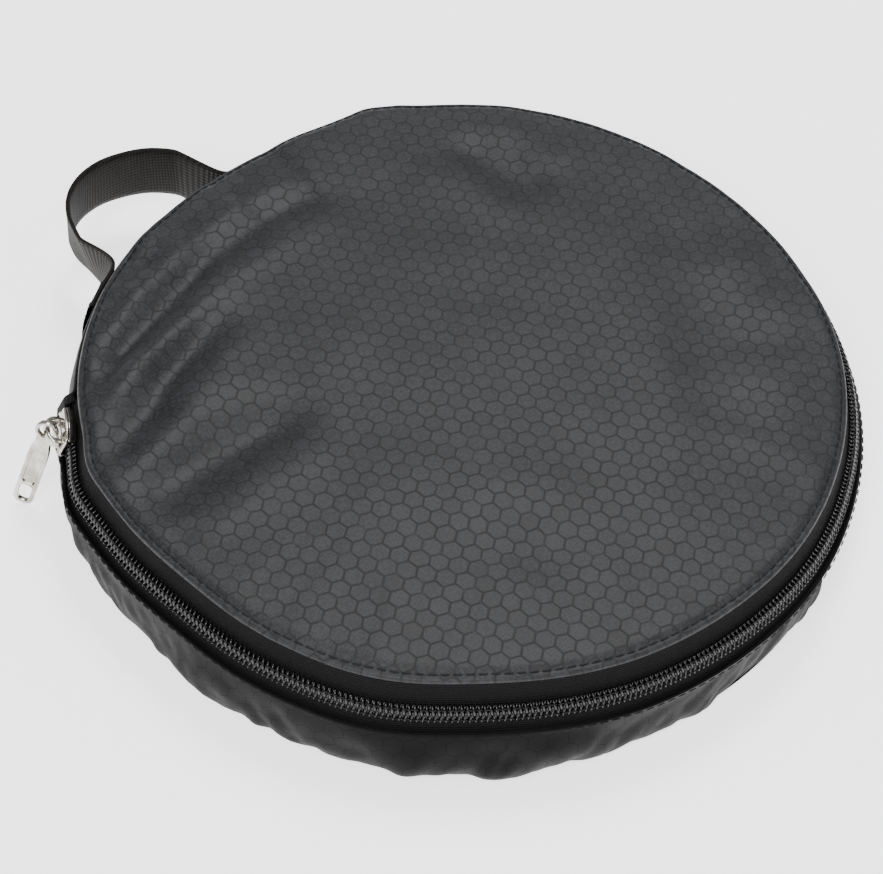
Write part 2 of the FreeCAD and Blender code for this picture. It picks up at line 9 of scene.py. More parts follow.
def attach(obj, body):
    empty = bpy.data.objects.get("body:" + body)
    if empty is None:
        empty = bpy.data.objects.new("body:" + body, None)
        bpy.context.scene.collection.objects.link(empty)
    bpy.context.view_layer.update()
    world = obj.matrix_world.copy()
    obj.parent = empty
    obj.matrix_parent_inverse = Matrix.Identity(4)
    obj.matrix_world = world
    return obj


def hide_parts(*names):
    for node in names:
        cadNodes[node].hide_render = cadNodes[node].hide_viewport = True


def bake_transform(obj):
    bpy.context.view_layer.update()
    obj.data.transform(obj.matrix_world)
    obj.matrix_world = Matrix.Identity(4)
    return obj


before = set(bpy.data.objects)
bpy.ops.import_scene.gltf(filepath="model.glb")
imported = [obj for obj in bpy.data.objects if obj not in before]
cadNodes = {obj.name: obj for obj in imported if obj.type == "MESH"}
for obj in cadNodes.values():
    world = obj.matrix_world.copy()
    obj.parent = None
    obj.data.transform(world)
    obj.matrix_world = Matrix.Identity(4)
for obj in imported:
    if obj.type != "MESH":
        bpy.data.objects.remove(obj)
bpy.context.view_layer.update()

mm = 0.001
scene = bpy.context.scene
print("frame loaded,", len(cadNodes), "parts")

# The case stands on z = 0 round the Z axis. Shapes below are worked in millimetres and
# angles in degrees anticlockwise from +X; the zip opens at -Y and the loop is at +Y.

case = {
    "zipRadius": 113.0,
    "zipHeight": 27.0,
    "zipLean": 25.0,
    "zipFirst": 128.2,
    "zipLast": 411.8,
    "bendStart": 75.0,
    "bendEnd": 50.0,
    "sliderRest": 133.5,
    "tapeEdge": 9.6,
    "lidTop": 40.5,
}


def smooth(low, high, value):
    t = min(1.0, max(0.0, (value - low) / (high - low)))
    return t * t * (3 - 2 * t)


def ripple(x, y=0.0, z=0.0):
    return noise.noise(Vector((x, y, z)))


def bump(centre, width, angle):
    away = (angle - centre + 180.0) % 360.0 - 180.0
    return math.exp(-(away / width) ** 2)


def polar(radius, turn):
    return radius * math.cos(turn), radius * math.sin(turn)


def around(angle, size, layer=0.0):
    # noise that closes on itself round the case
    return ripple(*polar(size, math.radians(angle)), layer)


def curved(corners, share):
    # a point of the smooth curve that the corners pull on
    spots = corners
    while len(spots) > 1:
        pairs = zip(spots, spots[1:])
        spots = [(a[0] + (b[0] - a[0]) * share, a[1] + (b[1] - a[1]) * share) for a, b in pairs]
    return spots[0]


def sliderRoom(angle):
    # 0 where the slider can stop, 1 elsewhere, so that the cloth keeps clear of it there
    near = max(bump(133.5, 5.5, angle), bump(46.5, 5.5, angle))
    return 1.0 - min(1.0, near * 1.35)


def rimOut(angle):
    # how far the soft rim stands out of round
    wander = 0.9 * around(angle, 2.1, 4.0)
    dents = 1.9 * bump(144, 6, angle) - 2.0 * bump(169, 11, angle) + 1.2 * bump(200, 9, angle)
    flatter = -3.4 * bump(314, 50, angle) - 4.6 * bump(76, 32, angle) - 1.8 * bump(352, 34, angle)
    return (wander + dents + flatter) * sliderRoom(angle)


def rimUp(angle):
    return 1.3 * around(angle, 1.7, 9.0) * sliderRoom(angle)


def softened(x, y, z):
    # every cloth point goes through this, so that seams stay together
    radius = math.hypot(x, y)
    if radius < 1.0:
        return x, y, z
    angle = math.degrees(math.atan2(y, x))
    share = min(1.0, radius / case["zipRadius"]) ** 5 * smooth(2.0, 18.0, z)
    radiusOut = radius + rimOut(angle) * share
    return x * radiusOut / radius, y * radiusOut / radius, z + rimUp(angle) * share


def zipPoint(angle, along, out):
    lean = math.radians(case["zipLean"])
    radius = case["zipRadius"] - along * math.sin(lean) + out * math.cos(lean)
    height = case["zipHeight"] + along * math.cos(lean) + out * math.sin(lean)
    return *polar(radius, math.radians(angle)), height


def smoothShaded(mesh):
    mesh.polygons.foreach_set("use_smooth", [True] * len(mesh.polygons))


def evaluated(piece):
    bpy.context.view_layer.update()
    return bpy.data.meshes.new_from_object(piece.evaluated_get(bpy.context.evaluated_depsgraph_get()))


def makeObject(name, data):
    piece = bpy.data.objects.new(name, data)
    scene.collection.objects.link(piece)
    return piece


def paint(piece, finish):
    piece.data.materials.clear()
    piece.data.materials.append(finish)


def gridPiece(name, rows, columns, place, closedRows=False, closedColumns=False, uv=None, flip=False):
    # a sheet of quads; place(row share, column share) gives each point in millimetres
    rowCount = rows if closedRows else rows + 1
    columnCount = columns if closedColumns else columns + 1
    points = [
        [v * mm for v in place(i / rows, j / columns)] for i in range(rowCount) for j in range(columnCount)
    ]
    faces = []
    coords = []
    for i in range(rows):
        for j in range(columns):
            corners = [(i, j), (i, j + 1), (i + 1, j + 1), (i + 1, j)]
            if flip:
                corners.reverse()
            faces.append([r % rowCount * columnCount + c % columnCount for r, c in corners])
            coords.extend((r / rows, c / columns) for r, c in corners)
    mesh = bpy.data.meshes.new(name)
    mesh.from_pydata(points, [], faces)
    if uv:
        layer = mesh.uv_layers.new(name="cut")
        layer.data.foreach_set("uv", [v for share in coords for v in uv(*share)])
    smoothShaded(mesh)
    mesh.update()
    return makeObject(name, mesh)


def thicken(piece, depth, offset=-1.0):
    shell = piece.modifiers.new("wall", "SOLIDIFY")
    shell.thickness = depth * mm
    shell.offset = offset
    shell.use_even_offset = False
    mesh = evaluated(piece)
    piece.modifiers.clear()
    piece.data = mesh
    mesh.name = piece.name


def built(build, mesh):
    bmesh.ops.recalc_face_normals(build, faces=build.faces)
    build.to_mesh(mesh)
    build.free()
    return mesh


def addNode(tree, kind, settings=None, sockets=None):
    made = tree.nodes.new(kind)
    for setting, value in (settings or {}).items():
        setattr(made, setting, value)
    for key, value in (sockets or {}).items():
        if isinstance(value, bpy.types.NodeSocket):
            tree.links.new(value, made.inputs[key])
        else:
            made.inputs[key].default_value = value
    return made


# Shader nodes

class Signal:
    def __init__(self, finish, socket):
        self.finish = finish
        self.socket = socket

    def math(self, operation, *others):
        values = {0: self}
        values.update({n + 1: other for n, other in enumerate(others)})
        return self.finish.node("ShaderNodeMath", {"operation": operation}, values).get("Value")

    def __add__(self, other): return self.math("ADD", other)
    def __radd__(self, other): return self.math("ADD", other)
    def __sub__(self, other): return self.math("SUBTRACT", other)
    def __rsub__(self, other): return (self * -1.0).math("ADD", other)
    def __mul__(self, other): return self.math("MULTIPLY", other)
    def __truediv__(self, other): return self.math("DIVIDE", other)
    def __abs__(self): return self.math("ABSOLUTE")

    def part(self): return self.math("FRACT")
    def below(self, other): return self.math("LESS_THAN", other)
    def larger(self, other): return self.math("MAXIMUM", other)
    def stripes(self, period): return (self * (math.tau / period)).math("SINE")

    def ramp(self, low, high):
        sockets = {"Value": self, "From Min": low, "From Max": high}
        kind = {"interpolation_type": "SMOOTHSTEP"}
        return self.finish.node("ShaderNodeMapRange", kind, sockets).get("Result")


class MadeNode:
    def __init__(self, finish, node):
        self.finish = finish
        self.node = node

    def get(self, output):
        return Signal(self.finish, self.node.outputs[output])


class Finish:
    def __init__(self, name, colour, roughness, **constants):
        self.material = bpy.data.materials.new(name)
        self.material.use_nodes = True
        self.tree = self.material.node_tree
        self.surface = self.tree.nodes["Principled BSDF"]
        self.surface.inputs["Base Color"].default_value = (*colour, 1)
        self.surface.inputs["Roughness"].default_value = roughness
        for socketName, value in constants.items():
            self.surface.inputs[socketName.replace("_", " ")].default_value = value

    def node(self, kind, settings=None, sockets=None):
        plain = {key: getattr(value, "socket", value) for key, value in (sockets or {}).items()}
        return MadeNode(self, addNode(self.tree, kind, settings, plain))

    def feed(self, socketName, signal):
        self.tree.links.new(signal.socket, self.surface.inputs[socketName])

    def place(self):
        return self.node("ShaderNodeTexCoord").get("Object")

    def cut(self):
        return self.node("ShaderNodeUVMap", {"uv_map": "cut"}).get("UV")

    def axes(self, vector):
        split = self.node("ShaderNodeSeparateXYZ", None, {"Vector": vector})
        return split.get("X"), split.get("Y"), split.get("Z")

    def turned(self, vector, degrees, scale=(1, 1, 1)):
        sockets = {"Vector": vector, "Rotation": (0, 0, math.radians(degrees)), "Scale": scale}
        return self.node("ShaderNodeMapping", None, sockets).get("Vector")

    def inMillimetres(self, vector, degrees=0):
        return self.turned(vector, degrees, (1000, 1000, 1000))

    def grain(self, vector, scale, detail=2.0, roughness=0.5):
        sockets = {"Vector": vector, "Scale": scale, "Detail": detail, "Roughness": roughness}
        return self.node("ShaderNodeTexNoise", None, sockets).get("Fac")

    def blend(self, factor, first, second):
        sockets = {0: factor, 6: first, 7: second}
        return self.node("ShaderNodeMix", {"data_type": "RGBA"}, sockets).get(2)

    def relief(self, height, strength, distance):
        sockets = {"Height": height, "Strength": strength, "Distance": distance}
        self.feed("Normal", self.node("ShaderNodeBump", None, sockets).get("Normal"))


def toLinear(*levels):
    # colours are chosen as seen on a screen, 0 to 255
    return tuple(((v / 255 + 0.055) / 1.055) ** 2.4 if v > 10 else v / 255 / 12.92 for v in levels)


def shade(*levels):
    return *toLinear(*levels), 1


def hexEdge(finish, x, y, width):
    # distance to the nearest hexagon side, in widths, and the cell's own number
    tall = math.sqrt(3.0)
    u, v = x / width, y / (width * tall)
    ax, ay = u.part() - 0.5, (v.part() - 0.5) * tall
    bx, by = (u - 0.5).part() - 0.5, ((v - 0.5).part() - 0.5) * tall
    first = (ax * ax + ay * ay).below(bx * bx + by * by)
    gx = first * ax + (1 - first) * bx
    gy = first * ay + (1 - first) * by
    side = abs(gx).larger(abs(gx) * 0.5 + abs(gy) * (tall / 2))
    cell = finish.node("ShaderNodeCombineXYZ", None, {"X": u - gx, "Y": v * tall - gy, "Z": 0.0})
    chance = finish.node("ShaderNodeTexWhiteNoise", None, {"Vector": cell.get("Vector")}).get("Value")
    return 0.5 - side, chance


hexCloth = {
    "cellWidth": 5.3,       # across flats
    "turn": 8.0,
    "line": 0.44,           # width of the woven outline
    "shine": 0.42,
    "cell": (35, 36, 40),
    "cellDark": (9, 9, 10),
    "outline": (3, 3, 4),
}


def hexFinish(name, look, contrast, roughness):
    finish = Finish(
        name, toLinear(*look["cell"]), roughness, Sheen_Weight=0.04, Specular_IOR_Level=look["shine"]
    )
    vector = finish.inMillimetres(finish.cut(), look["turn"])
    wobble = finish.node("ShaderNodeTexNoise", None, {"Vector": vector, "Scale": 0.09, "Detail": 2.0})
    pulled = finish.node(
        "ShaderNodeVectorMath", {"operation": "MULTIPLY_ADD"},
        {0: wobble.get("Color"), 1: (1.3, 1.3, 0.0), 2: vector},
    )
    x, y, _ = finish.axes(pulled.get("Vector"))
    edge, chance = hexEdge(finish, x, y, look["cellWidth"])
    half = look["line"] / 2 / look["cellWidth"]
    line = 1 - edge.ramp(half * 0.6, half * 2.0)
    weft, warp = (
        finish.grain(finish.turned(vector, 0, scale), 0.8) for scale in ((0.8, 2.8, 1.0), (2.8, 0.8, 1.0))
    )
    yarn = weft * 0.5 + warp * 0.5
    worn = finish.grain(vector, 0.035, 3.0)
    spread = (chance * 0.35 + worn * 0.45 + (yarn - 0.5) * 5.0).ramp(0.0, 0.9)
    tone = finish.blend(spread, shade(*look["cellDark"]), shade(*look["cell"]))
    lineShare = line * contrast * finish.grain(vector, 0.16, 1.0).ramp(0.25, 0.6)
    finish.feed("Base Color", finish.blend(lineShare, tone, shade(*look["outline"])))
    finish.feed("Roughness", roughness + (yarn - 0.5) * 0.3 + line * 0.1)
    finish.relief(yarn * 0.5 - line * 0.25, 0.55, 0.00020)
    return finish.material


lidFinish = hexFinish("lidHexCloth", hexCloth, 0.95, 0.56)
# the side wall's hex cloth is the lid's cloth made far darker: partly the cloth's own near-black, partly
# painted shade for the side, which the bright floor would otherwise light
wallLookWithPaintedShade = dict(
    hexCloth, turn=0.0, cell=(10, 9, 8), cellDark=(6, 5, 5), outline=(2, 2, 2), line=0.3, shine=0.1
)
wallFinishWithPaintedShade = hexFinish("wallHexCloth", wallLookWithPaintedShade, 0.5, 0.6)


def plainClothFinish(name, colour, yarnSize, roughness):
    finish = Finish(name, toLinear(*colour), roughness, Sheen_Weight=0.04, Specular_IOR_Level=0.2)
    vector = finish.inMillimetres(finish.place(), 45)
    x, y, z = finish.axes(vector)
    weave = x.stripes(yarnSize) * (y + z).stripes(yarnSize)
    speck = finish.grain(vector, 1.4 / yarnSize, 3.0)
    dark = tuple(level * 0.62 for level in colour)
    finish.feed("Base Color", finish.blend(
        (speck * 0.8 + weave * 0.2).ramp(0.2, 0.8), shade(*dark), shade(*colour)
    ))
    finish.relief(weave * 0.5 + speck * 0.6, 0.5, 0.00016)
    return finish.material


liningFinish = plainClothFinish("plainLining", (24, 24, 26), 0.7, 0.7)
bindingFinish = plainClothFinish("biasBinding", (14, 14, 15), 0.55, 0.75)


def tapeFinishMade():
    # woven zip tape: ribs along its length and a fine herringbone, with light specks
    finish = Finish("zipTapeCloth", toLinear(9, 9, 9), 0.72, Specular_IOR_Level=0.15)
    vector = finish.inMillimetres(finish.cut())
    x, y, _ = finish.axes(vector)
    rib = y.stripes(0.62) * 0.5 + 0.5
    slant = (x + abs(y) * 0.5).stripes(0.8) * 0.5 + 0.5
    speck = finish.grain(vector, 2.6, 1.0).ramp(0.60, 0.74)
    finish.feed("Base Color", finish.blend(
        speck * 0.8 * slant + rib * 0.25, shade(4, 4, 4), shade(40, 39, 40)
    ))
    finish.relief(rib * 0.6 + slant * 0.4 + speck * 0.4, 0.7, 0.00022)
    return finish.material


tapeFinish = tapeFinishMade()


def speckled(name, colour, size, detail, spread, low, **constants):
    # one colour whose roughness varies a little
    finish = Finish(name, colour, low, **constants)
    finish.feed("Roughness", finish.grain(finish.place(), size, detail) * spread + low)
    return finish.material


coilFinish = speckled("coilNylon", toLinear(9, 9, 9), 900.0, 2.0, 0.22, 0.17, Coat_Weight=0.2)
lidThread, blackThread = (
    speckled(name, toLinear(*colour), 2600.0, 1.0, 0.2, 0.5, Specular_IOR_Level=0.25)
    for name, colour in (("lidThread", (20, 21, 26)), ("blackThread", (8, 8, 8)))
)
springFinish = speckled("springSteel", (0.36, 0.37, 0.40), 700.0, 3.0, 0.2, 0.22, Metallic=1.0)


def nickelFinishMade():
    finish = Finish("sliderNickel", (0.83, 0.79, 0.73), 0.2, Metallic=1.0)
    vector = finish.place()
    cloudy = finish.grain(vector, 260.0, 4.0)
    fine = finish.grain(vector, 2400.0, 2.0)
    finish.feed("Base Color", finish.blend(
        cloudy.ramp(0.3, 0.75), (0.34, 0.32, 0.28, 1), (0.62, 0.59, 0.54, 1)
    ))
    finish.feed("Roughness", cloudy * 0.16 + fine * 0.07 + 0.07)
    finish.relief(cloudy * 0.8 + fine * 0.25, 0.35, 0.00012)
    return finish.material


nickelFinish = nickelFinishMade()


def webbingFinishMade():
    finish = Finish("ribbedWebbing", toLinear(20, 17, 15), 0.62, Specular_IOR_Level=0.2)
    vector = finish.inMillimetres(finish.cut())
    x, y, _ = finish.axes(vector)
    rib = x.stripes(1.15) * 0.5 + 0.5
    cross = (y + x * 0.086).stripes(0.9) * 0.5 + 0.5
    fuzz = finish.grain(vector, 1.1, 3.0)
    finish.feed("Base Color", finish.blend(
        rib * 0.55 + cross * 0.12 + fuzz * 0.3, shade(4, 4, 3), shade(36, 31, 28)
    ))
    finish.relief(rib * 0.8 + cross * 0.3 + fuzz * 0.3, 0.8, 0.00035)
    return finish.material


webbingFinish = webbingFinishMade()


def silverFinishMade():
    finish = Finish("silverReflector", (0.80, 0.81, 0.83), 0.32, Metallic=0.65)
    vector = finish.inMillimetres(finish.place())
    x, y, _ = finish.axes(vector)
    ripstop = (x + y * 0.02).stripes(1.4).larger(y.stripes(1.4)).ramp(0.8, 1.0)
    crease = finish.grain(vector, 0.12, 5.0, 0.65)
    finish.feed("Roughness", crease * 0.3 + 0.2)
    finish.feed("Base Color", finish.blend(
        ripstop * 0.3 + crease * 0.4, (0.84, 0.85, 0.87, 1), (0.58, 0.59, 0.62, 1)
    ))
    finish.relief(crease + ripstop * 0.05, 0.6, 0.0012)
    return finish.material


silverFinish = silverFinishMade()
sleeveFinish = plainClothFinish("hoopSleeve", (30, 30, 33), 0.6, 0.65)
print("finishes ready")


# Geometry Nodes: one tree repeats a small piece round the Z axis, one sets pieces along a line

def newTree(name, inputs):
    tree = bpy.data.node_groups.new(name, "GeometryNodeTree")
    tree.interface.new_socket("Geometry", in_out="INPUT", socket_type="NodeSocketGeometry")
    tree.interface.new_socket("Geometry", in_out="OUTPUT", socket_type="NodeSocketGeometry")
    for inputName, kind in dict(inputs, Finish="Material").items():
        tree.interface.new_socket(inputName, in_out="INPUT", socket_type="NodeSocket" + kind)
    return tree, tree.nodes.new("NodeGroupInput").outputs


def repeated(tree, points, piece, turn, finish):
    # a copy of the piece on every point, in one material
    sockets = {"Points": points, "Instance": piece, "Rotation": turn}
    copies = addNode(tree, "GeometryNodeInstanceOnPoints", None, sockets).outputs[0]
    solid = addNode(tree, "GeometryNodeRealizeInstances", None, {0: copies}).outputs[0]
    done = addNode(tree, "GeometryNodeSetMaterial", None, {"Geometry": solid, "Material": finish})
    tree.links.new(done.outputs[0], tree.nodes.new("NodeGroupOutput").inputs[0])
    return tree


def ringTree():
    tree, entry = newTree("repeatRoundAxis", {"Count": "Int", "First Angle": "Float", "Step Angle": "Float"})
    points = addNode(tree, "GeometryNodePoints", None, {"Count": entry["Count"]}).outputs[0]
    index = addNode(tree, "GeometryNodeInputIndex").outputs[0]
    steps = addNode(
        tree, "ShaderNodeMath", {"operation": "MULTIPLY_ADD"},
        {0: index, 1: entry["Step Angle"], 2: entry["First Angle"]},
    ).outputs[0]
    turn = addNode(tree, "ShaderNodeCombineXYZ", None, {"Z": steps}).outputs[0]
    return repeated(tree, points, entry["Geometry"], turn, entry["Finish"])


def lineTree():
    tree, entry = newTree("repeatAlongLine", {"Spacing": "Float", "Piece": "Object"})
    curve = addNode(tree, "GeometryNodeMeshToCurve", None, {0: entry["Geometry"]}).outputs[0]
    lengthwise = {"mode": "LENGTH"}
    sockets = {"Curve": curve, "Length": entry["Spacing"]}
    even = addNode(tree, "GeometryNodeResampleCurve", lengthwise, sockets).outputs[0]
    tangent = addNode(tree, "GeometryNodeInputTangent").outputs[0]
    turn = addNode(tree, "FunctionNodeAlignRotationToVector", {"axis": "X"}, {"Vector": tangent}).outputs[0]
    piece = addNode(tree, "GeometryNodeObjectInfo", None, {"Object": entry["Piece"]}).outputs["Geometry"]
    return repeated(tree, even, piece, turn, entry["Finish"])


def grown(name, source, tree, values):
    # runs a tree on the source object and keeps the result as a plain mesh of its own
    modifier = source.modifiers.new("grow", "NODES")
    modifier.node_group = tree
    for item in tree.interface.items_tree:
        if item.in_out == "INPUT" and item.name in values:
            modifier[item.identifier] = values[item.name]
    mesh = evaluated(source)
    mesh.name = name
    bpy.data.objects.remove(source)
    smoothShaded(mesh)
    return makeObject(name, mesh)


aroundAxis = ringTree()
alongLine = lineTree()


def tubeSeed(name, rings):
    # a closed tube through rings of six points each
    build = bmesh.new()
    rings = [[build.verts.new(spot) for spot in ring] for ring in rings]
    for first, second in zip(rings, rings[1:]):
        for k in range(6):
            build.faces.new((first[k], second[k], second[(k + 1) % 6], first[(k + 1) % 6]))
    build.faces.new(rings[0])
    build.faces.new(reversed(rings[-1]))
    return makeObject(name, built(build, bpy.data.meshes.new(name)))


sixth = [math.tau * k / 6 for k in range(6)]


def stitchSeed(long, thick):
    # one sewn stitch: a capsule of thread, sunk at both ends; along, width and lift
    shape = (
        (-0.5, 0.25, -0.5), (-0.36, 0.85, -0.05), (0.0, 1.0, 0.25), (0.36, 0.85, -0.05), (0.5, 0.25, -0.5),
    )
    half = thick / 2
    return tubeSeed("stitchSeed", [
        [Vector((along * long, math.cos(k) * width * half, (math.sin(k) * width + lift) * half)) * mm
         for k in sixth]
        for along, width, lift in shape
    ])


def stitchLine(name, points, spacing, long, thick, finish):
    seed = stitchSeed(long, thick)
    mesh = bpy.data.meshes.new(name + "Line")
    edges = [(k, k + 1) for k in range(len(points) - 1)]
    mesh.from_pydata([[v * mm for v in point] for point in points], edges, [])
    line = makeObject(name + "Line", mesh)
    piece = grown(name, line, alongLine, {"Spacing": spacing * mm, "Piece": seed, "Finish": finish})
    bpy.data.objects.remove(seed)
    return piece


def bendWithLid(piece):
    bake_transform(piece)


def dress(piece, finish, slotName, *nodes):
    paint(piece, finish)
    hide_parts(*nodes)


# Lid cloth: one panel over the whole top of the case

lid = {
    "crown": case["lidTop"],
    "fall": 2.5,
    "puff": 1.6,            # the soft middle stands this much above the cut line's height
    "shoulder": 105.5,
    "seam": 108.8,          # topstitched line
    "turnUnder": ((103.0, 38.12), (108.2, 38.0), (111.6, 37.7), (111.6, 34.8), (108.9, 34.8)),
    "rows": 110,
    "columns": 420,
    # soft valleys: from, to, depth, half width
    "valleys": (
        ((-66, 84), (-8, 84), 3.2, 5.5),
        ((-8, 84), (30, 76), 1.8, 6.0),
        ((-90, 62), (-30, 68), 2.6, 6.5),
        ((-92, 47), (-44, 29), 2.4, 9.0),
        ((74, 52), (70, 18), 1.6, 8.0),
        ((20, -70), (62, -40), 0.9, 12.0),
        ((-70, -20), (-40, -60), 0.8, 12.0),
    ),
}


def valleyDepth(x, y, first, last, depth, width):
    ax, ay = first
    dx, dy = last[0] - ax, last[1] - ay
    length = math.hypot(dx, dy)
    t = ((x - ax) * dx + (y - ay) * dy) / length ** 2
    bend = 2.6 * ripple(x * 0.04, y * 0.04, 3.0)
    across = ((x - ax) * -dy + (y - ay) * dx) / length + bend
    ends = smooth(-0.18, 0.22, t) * (1 - smooth(0.78, 1.18, t))
    ridge = 0.45 * math.exp(-((abs(across) - width * 1.7) / width) ** 2)
    return depth * ends * (math.exp(-(across / width) ** 2) - ridge)


def lidRise(x, y):
    # how far the cloth lies above its even dome
    radius = math.hypot(x, y)
    angle = math.degrees(math.atan2(y, x))
    fade = 1 - smooth(98, 107, radius) * 0.75
    rise = -sum(valleyDepth(x, y, *valley) for valley in lid["valleys"]) * fade
    rise += lid["puff"] * max(0.0, 1 - (radius / 104) ** 2)
    rise += 1.5 * ripple(x * 0.016, y * 0.016, 1.0) + 0.55 * ripple(x * 0.045, y * 0.045, 5.0)
    outer = smooth(55, 104, radius)
    spokes = around(angle, 7.5, radius * 0.010)
    fine = around(angle, 17, radius * 0.02 + 3)
    gathered = 0.35 + 0.9 * bump(95, 50, angle) + 0.5 * bump(-35, 35, angle)
    return rise + outer * (0.95 * spokes + 0.45 * fine) * gathered


def lidProfile(share):
    # along the cloth from the middle to its turned-under edge: radius, height and share of relief
    reach = share * 116.0
    if reach <= 103.0:
        return reach, lid["crown"] - lid["fall"] * (reach / lid["shoulder"]) ** 2, 1.0
    t = (reach - 103.0) / 13.0
    return *curved(lid["turnUnder"], t), 1 - 0.8 * smooth(0.2, 0.9, t)


def lidPoint(share, angle, drop=0.0):
    radius, height, relief = lidProfile(share)
    x, y = polar(radius, math.radians(angle))
    groove = 0.55 * math.exp(-((radius - lid["seam"]) / 0.8) ** 2) if share < 0.96 else 0.0
    height += lidRise(x, y) * relief - groove - drop
    return softened(x, y, height)


lidCloth = gridPiece(
    "lidCloth", lid["rows"], lid["columns"],
    lambda i, j: lidPoint(0.004 + 0.996 * i ** 0.9, 360 * j), closedColumns=True,
)


def cutFromTop(piece):
    # the pattern belongs to the cloth: each point keeps where it lies seen from above
    layer = piece.data.uv_layers.new(name="cut")
    for corner in piece.data.loops:
        spot = piece.data.vertices[corner.vertex_index].co
        layer.data[corner.index].uv = (spot.x, spot.y)


def closeMiddle(piece):
    build = bmesh.new()
    build.from_mesh(piece.data)
    rim = [v for v in build.verts if v.index < lid["columns"]]
    build.faces.new(rim)
    smoothShaded(built(build, piece.data))


closeMiddle(lidCloth)
cutFromTop(lidCloth)
thicken(lidCloth, 0.7)
dress(lidCloth, lidFinish, "shell_fabric", "lid_panel", "lid_rear_panel")
bendWithLid(lidCloth)

seamShare = next(k / 2000 for k in range(2000) if lidProfile(k / 2000)[0] >= lid["seam"])
lidStitches = stitchLine(
    "lidStitches",
    [lidPoint(seamShare, k * 0.5, drop=-0.35) for k in range(721)],
    3.3, 2.5, 0.42, lidThread,
)
bendWithLid(lidStitches)
print("lid cloth made")


# Lid lining and the binding over its seam

def liningPoint(i, j):
    reach = 0.5 + 105.0 * i
    x, y = polar(reach, math.tau * j)
    height = lid["crown"] - lid["fall"] * (reach / lid["shoulder"]) ** 2 - 1.7
    height += 0.85 * lidRise(x, y) + 0.3 * ripple(x * 0.09, y * 0.09, 2.0) - 0.5 * smooth(60, 105, reach)
    return softened(x, y, height)


lidLining = gridPiece("lidLining", 50, 180, liningPoint, closedColumns=True, flip=True)
thicken(lidLining, 0.35)
dress(lidLining, liningFinish, "lining", "lid_lining", "lid_rear_lining")
bendWithLid(lidLining)


def bindingPoint(i, j):
    # a folded strip of tape round the seam allowance, seen only with the lid open
    corner = math.tau * i
    pucker = 0.25 * around(360 * j, 22, 1.0)
    radius = 106.3 + 1.7 * math.copysign(abs(math.cos(corner)) ** 0.5, math.cos(corner))
    height = 34.7 + pucker + 0.85 * math.copysign(abs(math.sin(corner)) ** 0.5, math.sin(corner))
    return softened(*polar(radius, math.tau * j), height)


lidBinding = gridPiece("lidBinding", 12, 360, bindingPoint, closedRows=True, closedColumns=True, flip=True)
dress(lidBinding, bindingFinish, "binding", "lid_binding", "lid_rear_binding")
bendWithLid(lidBinding)


# Zip: two tapes, two coils of teeth, their sewing and the end tabs

zipLook = {
    "pitch": 1.5,
    "wire": 0.31,           # radius of the coil's nylon
    "stitchPitch": 2.4,
}
zipSweep = case["zipLast"] - case["zipFirst"]
ringLength = math.radians(zipSweep) * case["zipRadius"]


def tapeStrip(name, near, far, *nodes):
    def place(i, j):
        # out over one face, round the edge and back over the other, so the tape is closed
        angle = case["zipFirst"] + zipSweep * j
        loop = i * 2
        back = loop > 1
        across = near + (far - near) * ((2 - loop) if back else loop)
        wave = 0.22 * ripple(angle * 0.55, across * 0.2, 2.0) * smooth(3.5, 8.0, abs(across))
        out = (-0.3 if back else 0.3) + wave * sliderRoom(angle)
        return softened(*zipPoint(angle, across, out))

    strip = gridPiece(
        name, 24, 700, place, closedRows=True,
        uv=lambda i, j: (ringLength * j * mm, (near + (far - near) * (2 - 2 * i if i > 0.5 else 2 * i)) * mm),
        flip=far > near,
    )
    dress(strip, tapeFinish, "tape", *nodes)
    return strip


upperNodes = ("zip_tape_upper", "zip_tape_rear_left", "zip_tape_rear_right")
tapeUpper = tapeStrip("tapeUpper", 0.8, case["tapeEdge"], *upperNodes)
tapeLower = tapeStrip("tapeLower", -0.8, -7.4, "zip_tape_lower")


def toothSeed(sign):
    # one turn of the nylon coil, in the zip's leaning section at angle 0
    path = (
        (2.3, 0.60, -0.35), (2.42, 1.2, -0.25), (2.05, 1.8, -0.1), (1.0, 1.95, 0.15),
        (0.12, 1.93, 0.32), (-0.5, 1.7, 0.4), (-0.62, 1.25, 0.42), (-0.35, 0.8, 0.45),
        (0.8, 0.68, 0.62), (2.2, 0.64, 0.95),
    )
    lean = math.radians(case["zipLean"])
    outWay = Vector((math.cos(lean), 0, math.sin(lean)))
    upWay = Vector((-math.sin(lean), 0, math.cos(lean)))
    centre = Vector((case["zipRadius"], 0, case["zipHeight"]))
    spots = [centre + upWay * (s * sign) + outWay * t + Vector((0, b, 0)) for s, t, b in path]
    rings = []
    for k, spot in enumerate(spots):
        way = (spots[min(k + 1, len(spots) - 1)] - spots[max(k - 1, 0)]).normalized()
        side = way.cross(Vector((0, 1, 0))).normalized()
        other = way.cross(side)
        swell = 1.35 if 4 <= k <= 6 else 1.0
        rings.append([
            (spot + (side * math.cos(turn) + other * math.sin(turn) * swell) * zipLook["wire"]) * mm
            for turn in sixth
        ])
    return tubeSeed("coilTurn", rings)


stepAngle = math.degrees(zipLook["pitch"] / case["zipRadius"])
coilTurns = int((zipSweep - 1.6) / stepAngle)


def coilOf(name, sign, shift, *nodes):
    coil = grown(name, toothSeed(sign), aroundAxis, {
        "Count": coilTurns,
        "First Angle": math.radians(case["zipFirst"] + 0.6 + shift * stepAngle),
        "Step Angle": math.radians(stepAngle),
        "Finish": coilFinish,
    })
    for vertex in coil.data.vertices:
        vertex.co = Vector(softened(*(c / mm for c in vertex.co))) * mm
    dress(coil, coilFinish, "coil", *nodes)
    return coil


coilUpper = coilOf("coilUpper", 1, 0.0, "zip_coil_upper", "zip_coil_rear_left", "zip_coil_rear_right")
coilLower = coilOf("coilLower", -1, 0.5, "zip_coil_lower")


